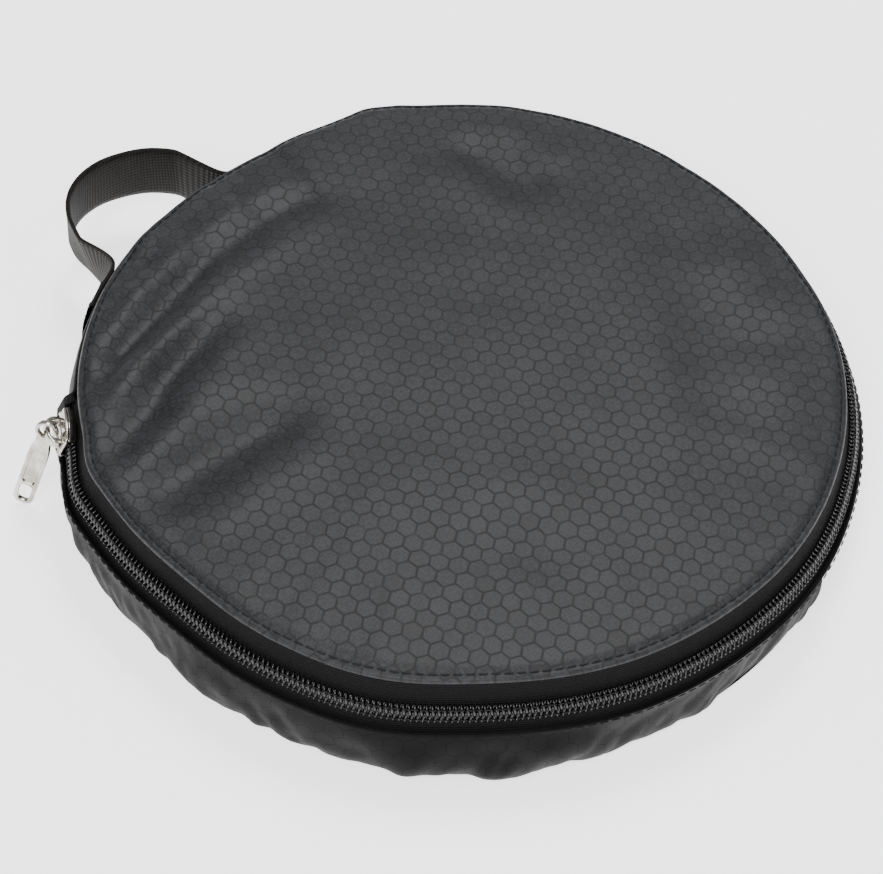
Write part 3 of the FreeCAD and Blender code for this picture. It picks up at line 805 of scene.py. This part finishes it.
def zipLine(along, out, first=None, last=None):
    first = case["zipFirst"] + 0.5 if first is None else first
    last = case["zipLast"] - 0.5 if last is None else last
    steps = int((last - first) * 2)
    return [softened(*zipPoint(first + (last - first) * k / steps, along, out)) for k in range(steps + 1)]


sewUpper = stitchLine("coilSewingUpper", zipLine(1.45, 2.2), zipLook["stitchPitch"], 2.2, 0.4, blackThread)
sewLower = stitchLine("coilSewingLower", zipLine(-1.45, 2.2), zipLook["stitchPitch"], 2.2, 0.4, blackThread)
for piece in (tapeUpper, coilUpper, sewUpper):
    bendWithLid(piece)
for piece in (tapeLower, coilLower, sewLower):
    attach(piece, "case")
print("zip made,", 2 * coilTurns, "coil turns")


# Side wall: hex cloth from the zip round the bulge to the bottom, and the plain hinge panel

wall = {
    "rows": 46,
    "columns": 760,
    "hingeColumns": 200,
}


def bulge(angle):
    # the soft wall stands out most where its corner rests on the floor at about 210 degrees
    return (
        113.6
        + 2.2 * bump(140, 28, angle) + 3.2 * bump(180, 20, angle) + 6.4 * bump(212, 20, angle)
        - 2.6 * bump(286, 26, angle)
        + 1.2 * bump(88, 24, angle)
    )


def wallPoint(share, angle, top, topHeight):
    # three quarter-like curves: top edge, bulge, foot
    out = bulge(angle)
    radius, height = curved((
        (top, topHeight), (out - 0.4, topHeight - 7.0), (out + 1.6, 7.5),
        (out - 1.2, 0.2), (111.0, 0.05), (108.5, 0.35),
    ), share)
    turn = math.radians(angle)
    x, y = math.cos(turn), math.sin(turn)
    free = smooth(0.02, 0.3, share) * (1 - smooth(0.78, 0.97, share))
    lumps = 1.9 * ripple(x * 6.5, y * 6.5, share * 1.3) + 1.0 * ripple(x * 13, y * 13, share * 2.4 + 4)
    creases = 0.8 * ripple(x * 24 + share * 3.0, y * 24, share * 3.5 + 8)
    radius += free * (lumps + creases)
    foot = smooth(0.55, 0.85, share) * (1 - smooth(0.93, 1.0, share))
    height += foot * (1.1 * abs(ripple(x * 9, y * 9, 7.0)) + 0.5 * abs(ripple(x * 19, y * 19, 2.0)))
    height = max(height, 0.05)
    return softened(radius * x, radius * y, height)


def wallPiece(name, first, last, columns, top, topHeight):
    sweep = last - first
    return gridPiece(
        name, wall["rows"], columns,
        lambda i, j: wallPoint(i, first + sweep * j, top, topHeight),
        uv=lambda i, j: (math.radians(first + sweep * j) * 0.117, i * 0.038),
    )


gussetCloth = wallPiece("gussetCloth", 127.9, 412.1, wall["columns"], 116.75, 22.4)
hingeCloth = wallPiece("hingeCloth", 51.9, 128.1, wall["hingeColumns"], 110.9, 34.1)
hingeFinish = plainClothFinish("hingePanelCloth", (12, 11, 11), 0.8, 0.66)
for piece, finish, node in (
    (gussetCloth, wallFinishWithPaintedShade, "gusset_band"), (hingeCloth, hingeFinish, "hinge_panel"),
):
    thicken(piece, 0.7, offset=-1.0)
    dress(piece, finish, "wall_fabric", node)
    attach(piece, "case")

gussetStitches = stitchLine(
    "gussetStitches", zipLine(-6.9, 1.75, 129.0, 411.0), 3.3, 2.5, 0.4, blackThread
)
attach(gussetStitches, "case")


def bottomPoint(i, j):
    radius = 0.4 + 110.9 * i
    x, y = polar(radius, math.tau * j)
    lift = 0.75 + 0.6 * ripple(x * 0.03, y * 0.03, 6.0)
    lift += 0.35 * smooth(80, 108, radius) * around(360 * j, 14, 2.0)
    return x, y, max(0.02, lift) * (1 - smooth(106, 111, radius)) + 0.02


bottomCloth = gridPiece("bottomCloth", 46, 200, bottomPoint, closedColumns=True)
cutFromTop(bottomCloth)
thicken(bottomCloth, 0.4, offset=1.0)
# the bottom takes the side wall's look, painted shade included
bottomFinishWithPaintedShade = hexFinish("bottomHexCloth", wallLookWithPaintedShade, 0.5, 0.6)
dress(bottomCloth, bottomFinishWithPaintedShade, "wall_fabric", "base_panel")
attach(bottomCloth, "case")


def floorLiningPoint(i, j):
    x, y = polar(0.4 + 108.0 * i, math.tau * j)
    return x, y, 1.55 + 0.5 * ripple(x * 0.035, y * 0.035, 8.0) + 0.25 * ripple(x * 0.11, y * 0.11, 3.0)


baseLining = gridPiece("baseLining", 36, 160, floorLiningPoint, closedColumns=True)
thicken(baseLining, 0.35)


def wallLiningPoint(i, j):
    height = 2.6 + 17.2 * i
    turn = math.tau * j
    x, y = math.cos(turn), math.sin(turn)
    radius = 108.2 + (bulge(360 * j) - 111.6) * math.sin(math.pi * (0.12 + 0.74 * i)) + 0.6 * i
    radius += 0.8 * ripple(x * 9, y * 9, i * 1.5) + 0.35 * ripple(x * 24, y * 24, i * 2.5)
    return radius * x, radius * y, height


wallLining = gridPiece("wallLining", 20, 360, wallLiningPoint, closedColumns=True)
thicken(wallLining, 0.35, offset=1.0)


def floorBindingPoint(i, j):
    corner = math.tau * i
    pucker = 0.2 * around(360 * j, 24, 5.0)
    radius = 109.8 + 1.2 * math.cos(corner) + pucker
    return *polar(radius, math.tau * j), 2.75 + 1.3 * math.sin(corner) + 0.6 * pucker


baseBinding = gridPiece(
    "baseBinding", 10, 300, floorBindingPoint, closedRows=True, closedColumns=True, flip=True
)
for piece, finish, slotName, node in (
    (baseLining, liningFinish, "lining", "base_lining"), (wallLining, liningFinish, "lining", "wall_lining"),
    (baseBinding, bindingFinish, "binding", "base_binding"),
):
    dress(piece, finish, slotName, node)
    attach(piece, "case")
print("side wall and bottom made")


# Carrying loop: 20 mm webbing stood on edge, its ends turned out and sewn flat to the hinge panel

loop = {
    "wide": 20.0,
    "thick": 1.5,
    "height": 23.0,
    "long": 146.0,
    "leavesWall": 115.0,
    "isFree": 124.0,
    "bendStart": 115.5,
    "bendEnd": 127.0,
    "legTwist": -0.33,      # the left leg leans its upper edge over
    "route": (
        (43.5, 109.4), (38.5, 111.8), (34.0, 113.8), (30.8, 116.6), (28.4, 121.0), (26.2, 127.0),
        (22.4, 132.8), (16.6, 137.4), (9.5, 140.6), (1.5, 141.4), (-6.2, 139.0), (-11.8, 133.4),
        (-15.4, 126.6), (-18.8, 120.6), (-23.0, 116.9), (-28.0, 115.2), (-33.0, 114.0), (-38.0, 112.2),
        (-42.0, 110.4),
    ),
}
hingeTree = BVHTree.FromObject(hingeCloth, bpy.context.evaluated_depsgraph_get())


def wallRadius(x, y, height):
    length = math.hypot(x, y)
    way = Vector((x / length, y / length, 0))
    hit = hingeTree.ray_cast(way * 0.16 + Vector((0, 0, height * mm)), -way, 0.08)[0]
    return 117.0 if hit is None else math.hypot(hit.x, hit.y) / mm


def loopRoute(share):
    spots = loop["route"]
    place = min(max(share, 0.0), 1.0) * (len(spots) - 1)
    k = min(int(place), len(spots) - 2)
    t = place - k
    p0, p1, p2, p3 = (spots[min(max(n, 0), len(spots) - 1)] for n in (k - 1, k, k + 1, k + 2))
    return tuple(
        0.5 * (2 * b + (c - a) * t + (2 * a - 5 * b + 4 * c - d) * t * t + (3 * b - a - 3 * c + d) * t ** 3)
        for a, b, c, d in zip(p0, p1, p2, p3)
    )


def loopSurface(share, tall, deep):
    # a point of the webbing: along it, up across it, and out from its middle
    x, y = loopRoute(share)
    ax, ay = loopRoute(share - 0.004)
    bx, by = loopRoute(share + 0.004)
    length = math.hypot(bx - ax, by - ay)
    outX, outY = (by - ay) / length, -(bx - ax) / length
    free = smooth(loop["leavesWall"], loop["isFree"], y)
    twist = 0.10 * math.sin(math.pi * share) + loop["legTwist"] * bump(0.70 * 360, 40, share * 360)
    cup = 0.5 * ripple(share * 7, 2.0) * (tall / 10) ** 2
    freeOut = deep - tall * twist + cup
    height = loop["height"] + tall
    onWall = wallRadius(x, y, height) + loop["thick"] / 2 + 0.12 + deep
    size = math.hypot(x, y)
    wallX, wallY = x / size * onWall, y / size * onWall
    return (
        wallX + (x + outX * freeOut - wallX) * free,
        wallY + (y + outY * freeOut - wallY) * free,
        height,
    )


def loopPoint(i, j):
    corner = math.tau * i
    tall = loop["wide"] / 2 * max(-1.0, min(1.0, 1.42 * math.sin(corner)))
    deep = loop["thick"] / 2 * max(-1.0, min(1.0, 1.42 * math.cos(corner)))
    rounding = 1 - 0.45 * smooth(9.2, 10.0, abs(tall))
    return loopSurface(0.004 + 0.992 * j, tall, deep * rounding)


carryLoop = gridPiece(
    "carryLoop", 40, 420, loopPoint, closedRows=True,
    uv=lambda i, j: (j * loop["long"] * mm, 0.5 * loop["wide"] * mm * math.sin(math.tau * i)),
)
dress(carryLoop, webbingFinish, "webbing", "carry_loop", "loop_end_left", "loop_end_right")


def bartack(name, share):
    points = [
        loopSurface(share + 0.006 * (-1) ** k, -8.8 + 17.6 * k / 34, loop["thick"] / 2 + 0.05)
        for k in range(35)
    ]
    tack = stitchLine(name, points, 0.9, 1.1, 0.42, blackThread)
    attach(tack, "case")


for number, share in enumerate((0.035, 0.135, 0.865, 0.965)):
    bartack("bartack" + str(number + 1), share)
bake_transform(carryLoop)
print("carrying loop made")


# Slider, crown and puller: cast, plated metal made from outlines with rounded edges

def rounded(corners, steps=6):
    # corners are x, y and how much of each side the rounding takes
    points = []
    for k, (x, y, cutBack) in enumerate(corners):
        corner = Vector((x, y))
        before = Vector(corners[k - 1][:2]) - corner
        after = Vector(corners[(k + 1) % len(corners)][:2]) - corner
        if cutBack == 0:
            points.append(corner)
            continue
        start = corner + before.normalized() * cutBack
        end = corner + after.normalized() * cutBack
        for n in range(steps + 1):
            t = n / steps
            points.append(start * (1 - t) ** 2 + corner * 2 * t * (1 - t) + end * t * t)
    return points


def castPlate(outlines, thick, edge, place, middle=0.0):
    # a flat casting: the first outline is its edge, the others are holes
    curve = bpy.data.curves.new("casting", "CURVE")
    curve.dimensions = "2D"
    curve.fill_mode = "BOTH"
    curve.extrude = (thick / 2 - edge) * mm
    curve.bevel_depth = edge * mm
    curve.offset = -edge * mm
    curve.bevel_resolution = 3
    for outline in outlines:
        outline = [spot for k, spot in enumerate(outline) if (spot - outline[k - 1]).length > 0.04]
        line = curve.splines.new("POLY")
        line.points.add(len(outline) - 1)
        for point, spot in zip(line.points, outline):
            point.co = (spot.x * mm, spot.y * mm, 0, 1)
        line.use_cyclic_u = True
    casting = makeObject("casting", curve)
    mesh = evaluated(casting)
    bpy.data.objects.remove(casting)
    mesh.transform(place @ Matrix.Translation((0, 0, middle * mm)))
    return mesh


def joined(name, meshes):
    build = bmesh.new()
    for mesh in meshes:
        build.from_mesh(mesh)
    bmesh.ops.remove_doubles(build, verts=build.verts, dist=1e-6)
    mesh = built(build, bpy.data.meshes.new(name))
    smoothShaded(mesh)
    mesh.set_sharp_from_angle(angle=math.radians(38))
    return makeObject(name, mesh)


def frameOf(origin, first, second):
    third = first.cross(second)
    place = Matrix((first, second, third)).transposed().to_4x4()
    place.translation = origin
    return place


sliderLook = {
    "outerLow": 2.75,
    "outerTop": 3.9,
    "innerTop": -0.75,
    "innerLow": -2.2,
    "half": 4.9,
    "long": 6.0,
    "crownHalf": 5.2,
    "crownTop": 8.3,
}
pullerLook = {
    "eyeOut": 7.6,
    "ring": 3.4,
    "eye": 2.3,
    "lean": 18.0,
    "twist": 25.0,
}
restTurn = math.radians(case["sliderRest"])
zipLean = math.radians(case["zipLean"])
radial = Vector((math.cos(restTurn), math.sin(restTurn), 0))
alongZip = Vector((-math.sin(restTurn), math.cos(restTurn), 0))
outOfZip = radial * math.cos(zipLean) + Vector((0, 0, math.sin(zipLean)))
upTape = -radial * math.sin(zipLean) + Vector((0, 0, math.cos(zipLean)))
sliderCentre = (radial * case["zipRadius"] + Vector((0, 0, case["zipHeight"]))) * mm
platePlace = frameOf(sliderCentre, alongZip, upTape)
archPlace = frameOf(sliderCentre, alongZip, outOfZip)


def sliderOutline(inset):
    wide, long = sliderLook["half"] - inset, sliderLook["long"] - inset
    return rounded([
        (-long, -wide, 1.6), (1.2, -wide, 2.2), (long, -wide + 1.5, 1.4),
        (long, wide - 1.5, 1.4), (1.2, wide, 2.2), (-long, wide, 1.6), (-long + 1.1, 0.0, 1.2),
    ])


def sliderFlange(side):
    wide, long = sliderLook["half"], sliderLook["long"]
    return rounded([
        (-long + 0.5, side * wide, 0.3), (1.0, side * wide, 1.0), (long - 0.2, side * (wide - 1.5), 0.3),
        (long - 0.4, side * (wide - 2.3), 0.3), (0.8, side * (wide - 0.85), 1.0),
        (-long + 0.5, side * (wide - 0.85), 0.3),
    ][::side])


outerThick = sliderLook["outerTop"] - sliderLook["outerLow"]
innerThick = sliderLook["innerTop"] - sliderLook["innerLow"]
sliderParts = [
    castPlate([sliderOutline(0)], outerThick, 0.42, platePlace, sliderLook["outerLow"] + outerThick / 2),
    castPlate([sliderOutline(0.3)], innerThick, 0.42, platePlace, sliderLook["innerLow"] + innerThick / 2),
]
for side in (-1, 1):
    sliderParts.append(castPlate([sliderFlange(side)], 2.3, 0.2, platePlace, 1.95))
post = rounded([(-5.0, -0.25, 0.1), (-2.0, -0.25, 0.1), (-2.0, 0.25, 0.1), (-5.0, 0.25, 0.1)], 2)
sliderParts.append(castPlate([post], 4.0, 0.08, platePlace, 1.0))
sliderBody = joined("sliderBody", sliderParts)
half, top, foot = sliderLook["crownHalf"], sliderLook["crownTop"], sliderLook["outerTop"] - 0.25
crownOutline = rounded([
    (-half, foot, 0.0), (half, foot, 0.0), (half, foot + 2.3, 1.2), (half - 2.0, top, 1.5),
    (-half + 2.0, top, 1.5), (-half, foot + 2.3, 1.2),
], 8)
crownWindow = rounded([
    (-3.2, foot + 0.3, 0.5), (3.2, foot + 0.3, 0.5), (3.0, 7.05, 1.2), (-3.0, 7.05, 1.2),
])
sliderCrown = joined("sliderCrown", [castPlate([crownOutline, crownWindow], 2.5, 0.5, archPlace)])
for piece, node in ((sliderBody, "slider_body"), (sliderCrown, "slider_crown")):
    dress(piece, nickelFinish, "nickel", node)
    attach(piece, "slider")

lean, twist = math.radians(pullerLook["lean"]), math.radians(pullerLook["twist"])
pullerWay = radial * math.sin(lean) - Vector((0, 0, math.cos(lean)))
outwards = radial * math.cos(lean) + Vector((0, 0, math.sin(lean)))
pullerAcross = outwards * math.cos(twist) - alongZip * math.sin(twist)
pullerPlace = frameOf(sliderCentre + outOfZip * pullerLook["eyeOut"] * mm, pullerWay, pullerAcross)


def disc(radius, first=0, last=360, steps=40):
    turns = (math.radians(first + (last - first) * k / steps) for k in range(steps + (last - first < 360)))
    return [Vector(polar(radius, turn)) for turn in turns]


ringEnd = math.degrees(math.asin(2.3 / pullerLook["ring"]))
pullerOutline = disc(pullerLook["ring"], ringEnd, 360 - ringEnd) + rounded([
    (5.2, -2.3, 0.0), (8.6, -3.0, 1.8), (30.5, -3.0, 2.9), (30.5, 3.0, 2.9), (8.6, 3.0, 1.8), (5.2, 2.3, 0.0),
], 8)
channel = rounded([(8.8, -1.75, 0.9), (21.8, -1.85, 0.9), (21.8, 1.85, 0.9), (8.8, 1.75, 0.9)], 5)
slot = rounded([(23.0, -1.7, 1.5), (29.1, -1.7, 1.5), (29.1, 1.7, 1.5), (23.0, 1.7, 1.5)], 8)
channelFloor = rounded([(8.0, -2.3, 0.5), (22.3, -2.3, 0.5), (22.3, 2.3, 0.5), (8.0, 2.3, 0.5)], 2)
puller = joined("zipPuller", [
    castPlate([pullerOutline, disc(pullerLook["eye"]), channel, slot], 1.6, 0.42, pullerPlace),
    castPlate([channelFloor], 0.6, 0.05, pullerPlace),
])
dress(puller, nickelFinish, "nickel", "puller")
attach(puller, "puller")


def endTab(name, node, first, last):
    def place(i, j):
        corner = math.tau * i
        angle = first + (last - first) * j
        along = 5.3 * max(-1.0, min(1.0, 1.42 * math.sin(corner)))
        out = 2.62 + 0.42 * math.cos(corner) * 1.3 - 1.6 * smooth(3.4, 5.3, abs(along))
        return softened(*zipPoint(angle, along, out))

    tab = gridPiece(
        name, 32, 10, place, closedRows=True,
        uv=lambda i, j: (j * 0.0026, 0.0053 * math.sin(math.tau * i)),
    )
    dress(tab, tapeFinish, "tape", node)
    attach(tab, "case")


endTab("endTabLeft", "zip_end_tab_left", 127.9, 129.5)
endTab("endTabRight", "zip_end_tab_right", 410.5, 412.1)
print("slider and puller made")


# Collapsed reflector: the wound hoop in its sleeve, and the fabric folded inside it

hoop = {
    "radius": 96.0,
    "height": 17.0,
    "across": 4.0,
    "rise": 9.6,
    "turns": 3,
    "sleeve": 2.75,
    "fabricRadius": 86.5,
    "fabricLow": 5.4,
    "fabricHigh": 28.2,
    "layers": 9,
}


def hoopPoint(share):
    angle = math.tau * hoop["turns"] * share
    radius = hoop["radius"] + hoop["across"] * math.cos(angle / hoop["turns"])
    height = hoop["height"] + hoop["rise"] * math.sin(angle / hoop["turns"])
    return *polar(radius, angle), height


def sleevePoint(i, j, swell=0.0):
    x, y, z = hoopPoint(j)
    angle = math.tau * hoop["turns"] * j
    corner = math.tau * i
    ruffle = 0.28 * ripple(angle * 14, corner * 1.2, 3.0) + 0.14 * ripple(angle * 40, corner * 2.0, 7.0)
    tall = (hoop["sleeve"] + ruffle + swell) * math.sin(corner)
    wide = (hoop["sleeve"] - 0.4 + ruffle + swell) * math.cos(corner)
    return x + math.cos(angle) * wide, y + math.sin(angle) * wide, z + tall


def sleeveStretch(name, rows, columns, first, last, swell):
    return gridPiece(
        name, rows, columns, lambda i, j: sleevePoint(i, first + (last - first) * j, swell),
        closedRows=True, flip=True,
    )


joinShare = 2.2 / 1080
hoopSleeve = sleeveStretch("hoopSleeve", 14, 1500, joinShare * 0.5, 1 - joinShare * 0.5, 0.0)
hoopJoin = sleeveStretch("hoopJoin", 16, 20, -joinShare, joinShare, 0.45)
for piece, node in ((hoopSleeve, "hoop_sleeve"), (hoopJoin, "hoop_join")):
    dress(piece, sleeveFinish, "sleeve", node)
    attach(piece, "reflector")
paint(cadNodes["hoop_band"], springFinish)


def foldedPoint(i, j):
    # one cloth, folded to and fro along Y between two heights
    layers = hoop["layers"]
    place = min(i * layers, layers - 1e-6)
    layer = int(place)
    t = place - layer
    pitch = (hoop["fabricHigh"] - hoop["fabricLow"]) / (layers - 1)
    ease = 0.5 - 0.5 * math.cos(math.pi * t)
    reach = hoop["fabricRadius"] * 0.965
    y = reach * math.cos(math.pi * ease) * (1 if layer % 2 == 0 else -1)
    turnIn = max(0.0, t - 0.94) / 0.06 * (layer < layers - 1)
    turnOut = max(0.0, 0.06 - t) / 0.06 * (layer > 0)
    z = hoop["fabricLow"] + pitch * (layer + 0.5 * turnIn ** 2 - 0.5 * turnOut ** 2)
    half = math.sqrt(hoop["fabricRadius"] ** 2 - y * y)
    x = half * (2 * j - 1)
    radius = math.hypot(x, y)
    angle = math.atan2(y, x) + radius * 0.012
    swirl = math.sin(angle * 9 + 2.4 * ripple(x * 0.02, y * 0.02, layer)) * smooth(12, 70, radius)
    top = 1.0 if layer == layers - 1 else 0.35
    z += top * (0.75 * swirl + 0.9 * ripple(x * 0.05, y * 0.05, layer + 0.5)) * (1 - max(turnIn, turnOut))
    return x, y, z


foldedReflector = gridPiece("foldedReflector", hoop["layers"] * 56, 90, foldedPoint)
dress(foldedReflector, silverFinish, "reflector", "reflector_fabric")
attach(foldedReflector, "reflector")
print("reflector made")


# Floor, light and camera

def studioFloor():
    mesh = bpy.data.meshes.new("floor")
    mesh.from_pydata([(-6, -6, 0), (6, -6, 0), (6, 6, 0), (-6, 6, 0)], [], [(0, 1, 2, 3)])
    floor = makeObject("studioFloor", mesh)
    glow = {"Emission_Color": (1, 1, 1, 1), "Emission_Strength": 1.7}
    paint(floor, speckled("whitePaper", (0.86, 0.86, 0.87), 900.0, 2.0, 0.1, 0.7, **glow))


def direction(azimuth, elevation):
    a, e = math.radians(azimuth), math.radians(elevation)
    return Vector((math.sin(a) * math.cos(e), -math.cos(a) * math.cos(e), math.sin(e)))


def areaLight(name, azimuth, elevation, distance, size, power, colour=(1, 1, 1)):
    lamp = bpy.data.lights.new(name, "AREA")
    lamp.shape = "DISK"
    lamp.size = size
    lamp.energy = power
    lamp.color = colour
    light = makeObject(name, lamp)
    away = direction(azimuth, elevation)
    light.location = away * distance
    light.rotation_euler = away.to_track_quat("Z", "Y").to_euler()


def studioLight():
    sky = bpy.data.worlds.new("sky")
    sky.use_nodes = True
    sky.node_tree.nodes["Background"].inputs["Color"].default_value = (0.95, 0.97, 1.0, 1)
    sky.node_tree.nodes["Background"].inputs["Strength"].default_value = 0.45
    scene.world = sky
    areaLight("keyLight", -75, 50, 1.6, 0.6, 20, (1.0, 0.99, 0.97))
    areaLight("fillLight", 10, 40, 1.8, 1.4, 7)
    areaLight("backLight", 112, 66, 1.7, 0.7, 20)


def mainCamera():
    lens = bpy.data.cameras.new("mainCamera")
    lens.lens = 112.9
    lens.sensor_width = 36
    lens.shift_x = -0.0283
    lens.shift_y = -0.0374
    camera = makeObject("mainCamera", lens)
    away = direction(-60, 48.4)
    roll = Matrix.Rotation(math.radians(3.3), 4, "Z")
    camera.matrix_world = (
        Matrix.Translation(Vector((0, 0, 0.020)) + away * 0.80)
        @ away.to_track_quat("Z", "Y").to_matrix().to_4x4() @ roll
    )
    scene.camera = camera


studioFloor()
studioLight()
mainCamera()
print("stage set")
